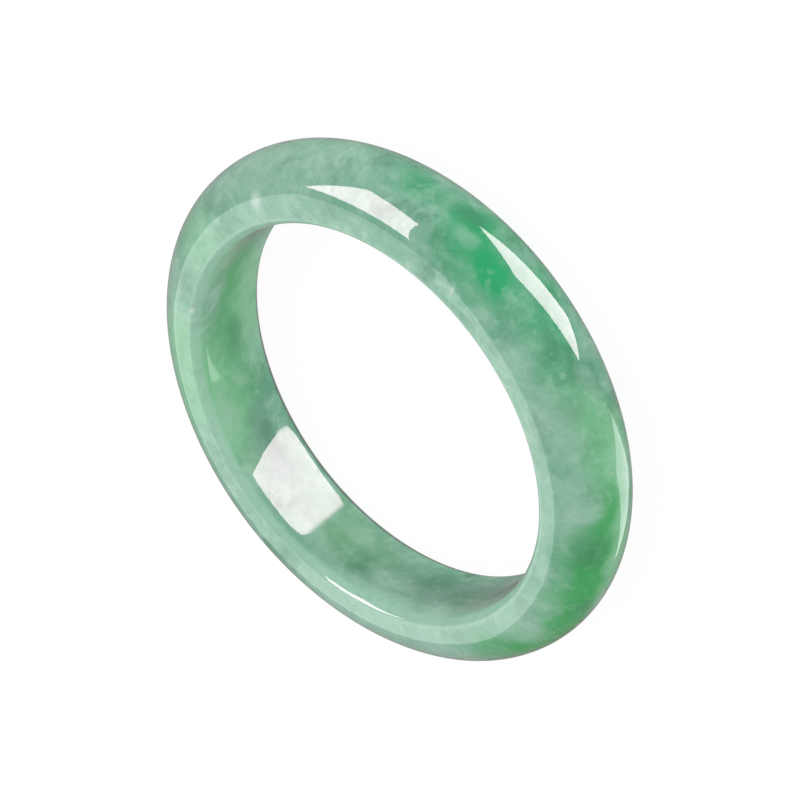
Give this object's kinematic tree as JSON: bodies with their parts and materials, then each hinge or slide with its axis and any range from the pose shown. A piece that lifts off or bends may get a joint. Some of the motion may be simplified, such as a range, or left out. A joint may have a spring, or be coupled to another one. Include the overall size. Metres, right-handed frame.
{
  "type": "bangle bracelet",
  "caption": "Closed polished jade bangle: one solid stone ring with a domed outside, flat ground sides and a straight bore with eased, bevelled edges.",
  "frame": {"origin": "centre of the bore, halfway across the ring's width", "axes": "+Z along the ring's axis, the way a wrist passes through it; the ring lies flat with X and Y in its plane"},
  "size_m": [0.0734, 0.0734, 0.013],
  "materials": {
    "jadeite": "high polish"
  },
  "bodies": {
    "root": {"stone_ring": "jadeite"}
  },
  "joints": []
}
